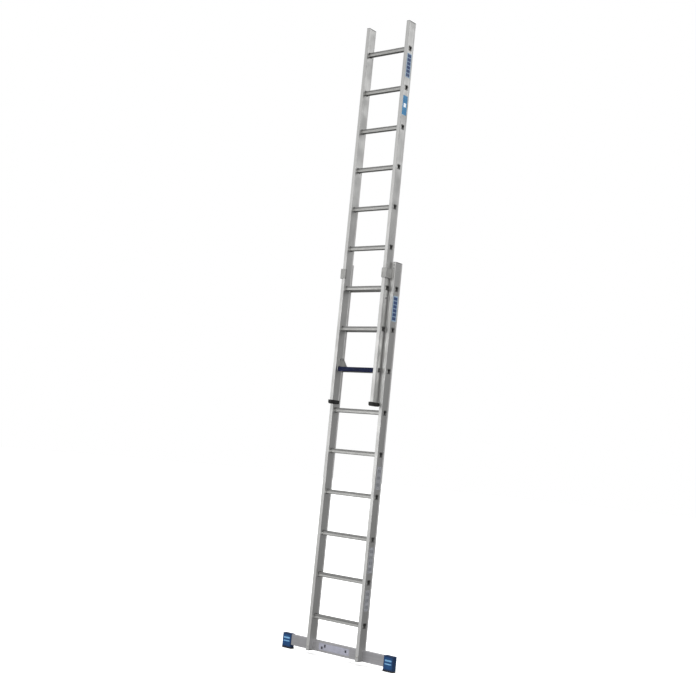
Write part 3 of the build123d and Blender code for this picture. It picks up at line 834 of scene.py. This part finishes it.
# %% Stickers on the right-hand stiles
BED_DEPTH = 0.0015
BED_MARGIN = 0.0125
NAME_PRINT = {"count": 6, "gap": 0.0045, "ends": 0.007, "sides": 0.006}
ROUND_PRINT = {"count": 1, "gap": 0.0, "ends": 0.054, "sides": 0.013}
UPPER_PRINT = {"count": 3, "gap": 0.024, "ends": 0.020, "sides": 0.010}
MIDDLE_PRINT = {"count": 4, "gap": 0.018, "ends": 0.016, "sides": 0.009}
LOWER_PRINT = {"count": 3, "gap": 0.020, "ends": 0.016, "sides": 0.009}
STILE_STICKERS = (
    # name, body, rung below, start above that rung, length, inks, print
    ("fly_name_strip", "fly", 8, 0.071, 0.172, (pale_vinyl, navy_ink), NAME_PRINT),
    ("fly_round_sticker", "fly", 7, 0.086, 0.136, (teal_vinyl, white_ink), ROUND_PRINT),
    ("base_name_strip", "base", 8, 0.060, 0.172, (pale_vinyl, navy_ink), NAME_PRINT),
    ("upper_grey_sticker", "base", 4, 0.050, 0.152, (grey_vinyl, grey_ink), UPPER_PRINT),
    ("middle_grey_sticker", "base", 2, 0.061, 0.169, (grey_vinyl, grey_ink), MIDDLE_PRINT),
    ("lower_grey_sticker", "base", 1, 0.095, 0.136, (grey_vinyl, grey_ink), LOWER_PRINT),
)


def stile_sticker(name, body, rung, start, length, inks, count, gap, ends, sides):
    """A sticker in the bed of a right-hand stile's web, printed with count blocks."""
    low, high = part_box(f"{body}_stile_right")
    rung_low, rung_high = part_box(f"{body}_rung_{rung}")
    bottom = (rung_low.z + rung_high.z) / 2 + start
    top = bottom + length
    face = high.x - BED_DEPTH
    front, back = low.y + BED_MARGIN, high.y - BED_MARGIN
    heights = blocks(bottom + ends, top - ends, count, gap)
    near, far = front + sides, back - sides
    cuts = [(2, place) for span in heights for place in span] + [(1, near), (1, far)]

    def printed(centre):
        return near < centre.y < far and any(first < centre.z < last for first, last in heights)

    corners = (face, front, bottom), (face + STICKER_THICKNESS, back, top)
    sticker(name, body, *corners, (1, 0, 0), inks, cuts, printed)


for *where, layout in STILE_STICKERS:
    stile_sticker(*where, **layout)
print(len(STILE_STICKERS), "stickers on the right-hand stiles")

# %% Sticker on the stabiliser bar
BAR_STICKER_LEFT, BAR_STICKER_RIGHT = -0.150, 0.110
BAR_MARGIN_BELOW, BAR_MARGIN_ABOVE = 0.014, 0.012

bar_low, bar_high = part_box("stabiliser_bar")
sticker_low = Vector((BAR_STICKER_LEFT, bar_low.y - STICKER_THICKNESS, bar_low.z + BAR_MARGIN_BELOW))
sticker_high = Vector((BAR_STICKER_RIGHT, bar_low.y, bar_high.z - BAR_MARGIN_ABOVE))
middle_z = (sticker_low.z + sticker_high.z) / 2
marks_on_bar = (
    # each mark's left and right edge, then its bottom and top edge
    ((-0.132, -0.116), (sticker_low.z + 0.006, middle_z)),
    ((-0.106, -0.092), (middle_z - 0.004, sticker_high.z - 0.006)),
    ((0.074, 0.088), (middle_z - 0.006, middle_z + 0.010)),
)


def on_a_mark(centre):
    """True for a face inside one of the three marks."""
    return any(x[0] < centre.x < x[1] and z[0] < centre.z < z[1] for x, z in marks_on_bar)


mark_cuts = [(0, place) for x, _ in marks_on_bar for place in x]
mark_cuts += [(2, place) for _, z in marks_on_bar for place in z]
bar_inks = (film_vinyl, black_ink)
sticker("bar_sticker", "base", sticker_low, sticker_high, (0, -1, 0), bar_inks, mark_cuts, on_a_mark)
print("one sticker on the bar")

# %% [markdown]
# ## Raised bars on the shoes
#
# The front of each shoe carries a moulded badge. Ours is plain: a thin raised panel in a lighter blue, and
# on it two pale bars. All are blocks set a little into the shoe's face, with rounded corners. Each bar's
# front is inset and drawn forward, so that it catches the light like a moulding.

# %% Badges on the shoes
SUNK = 0.0004
PANEL_PROUD, PANEL_SIDES, PANEL_BELOW, PANEL_ABOVE, PANEL_CORNER = 0.0006, 0.007, 0.008, 0.009, 0.0035
BAR_PROUD, BAR_SIDES, BAR_CORNER, CROWN_RIM, CROWN_HEIGHT = 0.0014, 0.013, 0.0030, 0.0010, 0.0006
BADGE_BARS = (("upper", 0.056, 0.066), ("lower", 0.036, 0.043))
BADGE_SMOOTH = 30.0

pale_plastic = moulded(
    "pale_plastic", deep=(0.10, 0.25, 0.42), pale=(0.13, 0.29, 0.47), scuff=(0.22, 0.38, 0.55),
    roughness=0.40, grain=1500.0, depth=0.00008, dust=0.10,
)
panel_blue = moulded(
    "panel_blue", deep=(0.0010, 0.032, 0.108), pale=(0.0014, 0.041, 0.132), scuff=(0.02, 0.08, 0.19),
    roughness=0.42, grain=1500.0, depth=0.00009, dust=0.10,
)


def raised_plate(name, low, high, corner):
    """A block with its corners rounded as seen from the front, left in edit mode."""
    plate = add_block(name, low, high)
    choose_edges(plate, lambda a, b: abs(a.y - b.y) > (high[1] - low[1]) / 2)
    bpy.ops.mesh.bevel(offset=corner, segments=4, affect="EDGES")
    return plate


def fit_to_shoe(plate, finish):
    """Finishes a plate and lets it ride with the base."""
    done(plate, BADGE_SMOOTH)
    plate.data.materials.append(finish)
    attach(plate, "base")


for side in ("left", "right"):
    low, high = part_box("shoe_" + side)
    panel = raised_plate(
        "shoe_panel_" + side, (low.x + PANEL_SIDES, low.y - PANEL_PROUD, low.z + PANEL_BELOW),
        (high.x - PANEL_SIDES, low.y + SUNK, high.z - PANEL_ABOVE), PANEL_CORNER,
    )
    fit_to_shoe(panel, panel_blue)
    for position, bottom, top in BADGE_BARS:
        bar = raised_plate(
            f"badge_bar_{position}_{side}", (low.x + BAR_SIDES, low.y - BAR_PROUD, low.z + bottom),
            (high.x - BAR_SIDES, low.y + SUNK, low.z + top), BAR_CORNER,
        )
        choose_faces(bar, lambda centre, normal: normal.y < -0.9)
        bpy.ops.mesh.inset(thickness=CROWN_RIM, depth=0.0)
        bpy.ops.transform.translate(value=(0.0, -CROWN_HEIGHT, 0.0))
        fit_to_shoe(bar, pale_plastic)
print("a panel and two bars on each shoe")
